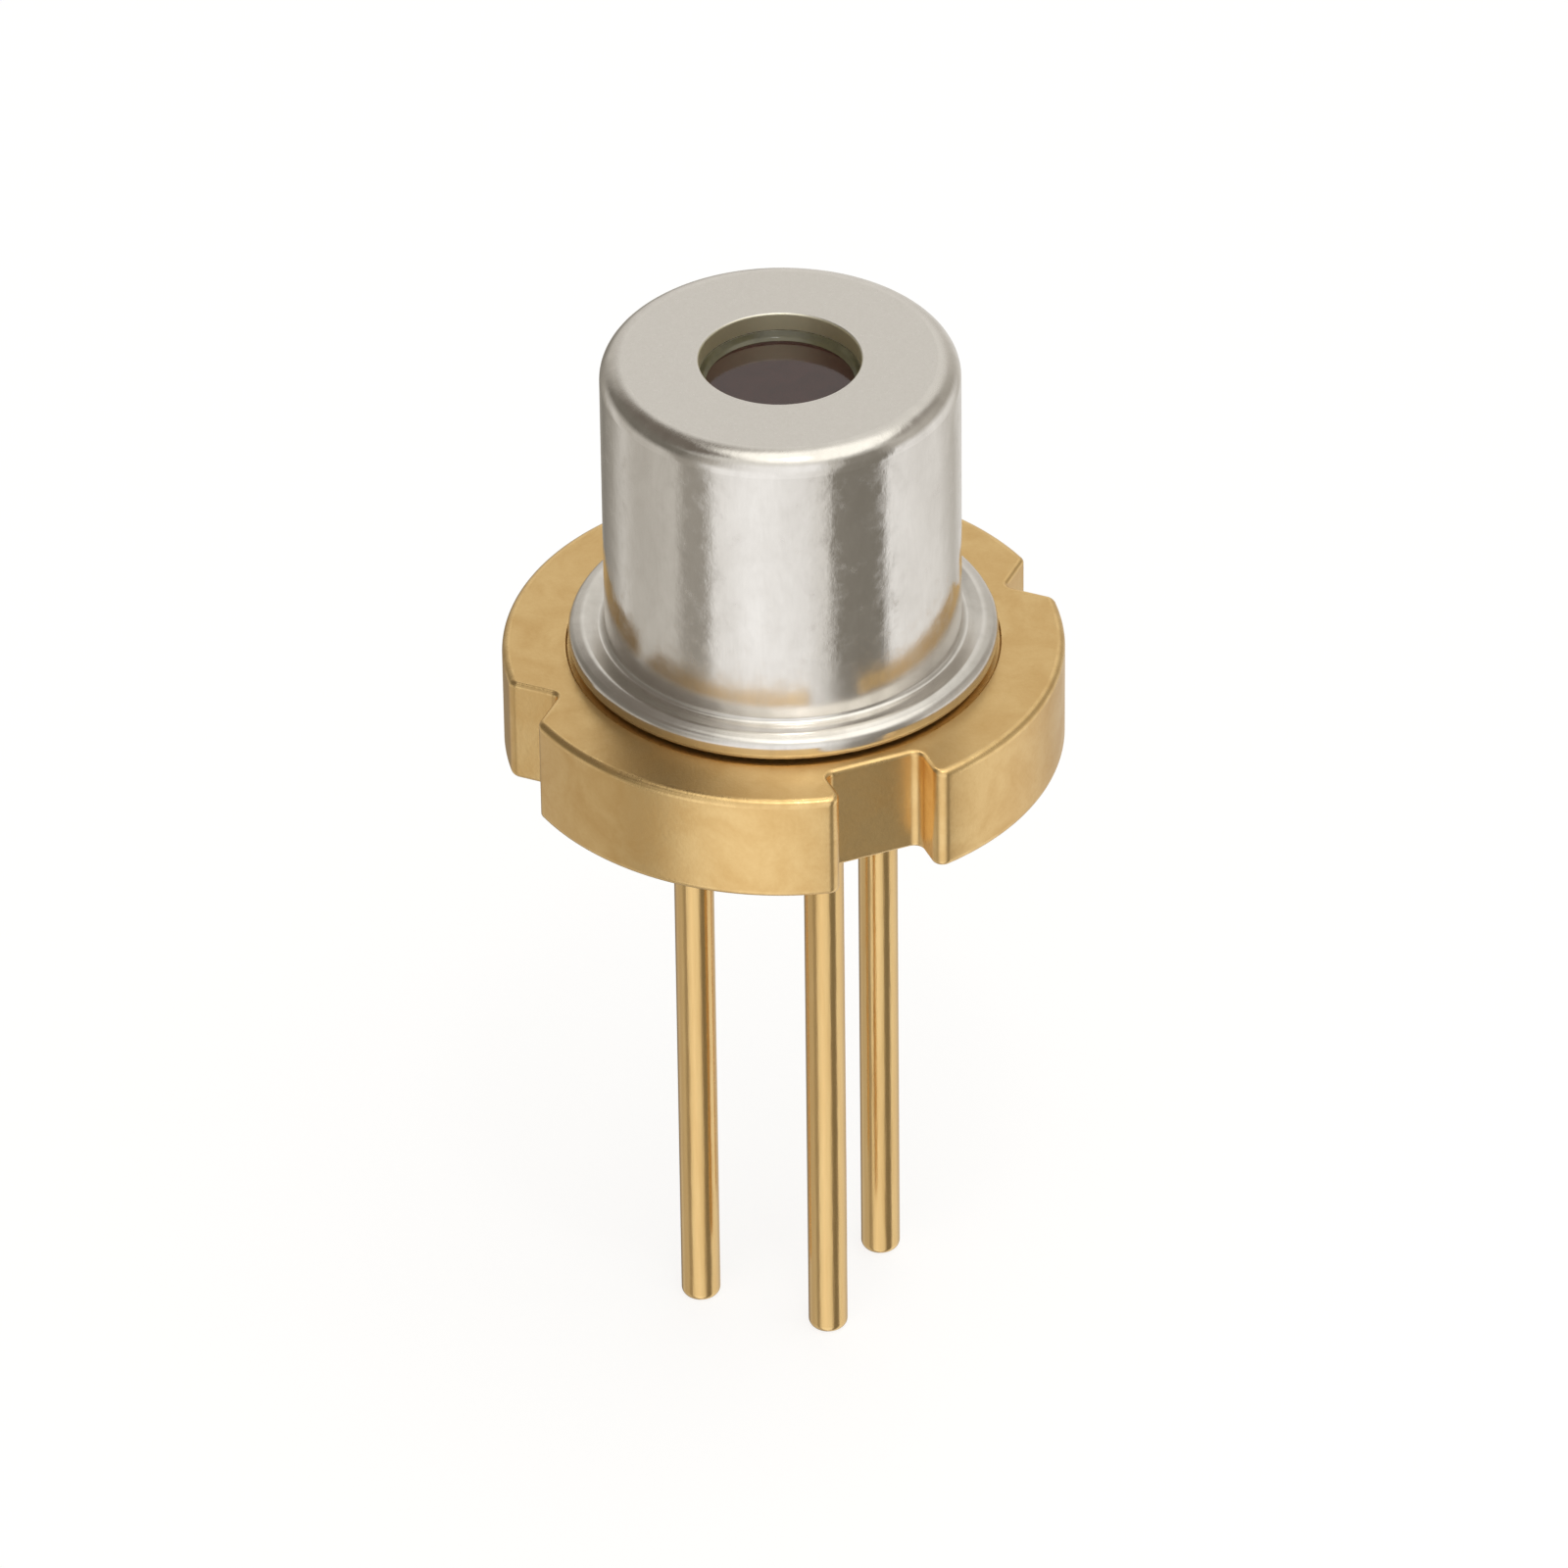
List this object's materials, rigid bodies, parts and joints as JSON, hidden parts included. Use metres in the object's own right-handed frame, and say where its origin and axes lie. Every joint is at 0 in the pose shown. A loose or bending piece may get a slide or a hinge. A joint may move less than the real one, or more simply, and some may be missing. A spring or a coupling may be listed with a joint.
{
  "type": "laser diode",
  "caption": "Laser diode in a round metal can with a window, on a notched gold-plated flange with long straight leads.",
  "frame": {"origin": "centre of the flange's top face, which is the package's reference plane", "axes": "+Z along the optical axis, the way the light leaves; the two insulated leads and the V-notches lie on X, the ground lead and the index notch on -Y"},
  "size_m": [0.0056, 0.0055, 0.0112],
  "materials": {
    "gold_plating": "satin gold plating on steel",
    "nickel_plating": "satin nickel plating",
    "window_coating": "dark coated glass, polished",
    "frit_glass": "olive sealing glass",
    "seal_glass": "dark sealing glass",
    "braze": "silver braze",
    "copper": "gold flashed copper",
    "submount_ceramic": "white ceramic with a metallised face",
    "solder": "dull solder",
    "laser_crystal": "polished crystal",
    "silicon": "polished silicon",
    "gold_wire": "bright gold wire"
  },
  "bodies": {
    "root": {"stem_base": "gold_plating", "cap": "nickel_plating", "cap_weld": "nickel_plating", "window_glass": "window_coating", "window_frit": "frit_glass", "laser_lead": "gold_plating", "monitor_lead": "gold_plating", "ground_lead": "gold_plating", "laser_lead_seal": "seal_glass", "monitor_lead_seal": "seal_glass", "ground_lead_braze": "braze", "heat_sink_block": "copper", "heat_sink_braze": "braze", "submount": "submount_ceramic", "submount_solder": "solder", "laser_chip": "laser_crystal", "chip_solder": "solder", "monitor_photodiode": "silicon", "photodiode_solder": "solder", "laser_wire": "gold_wire", "submount_wire": "gold_wire", "photodiode_wire": "gold_wire"}
  },
  "joints": []
}
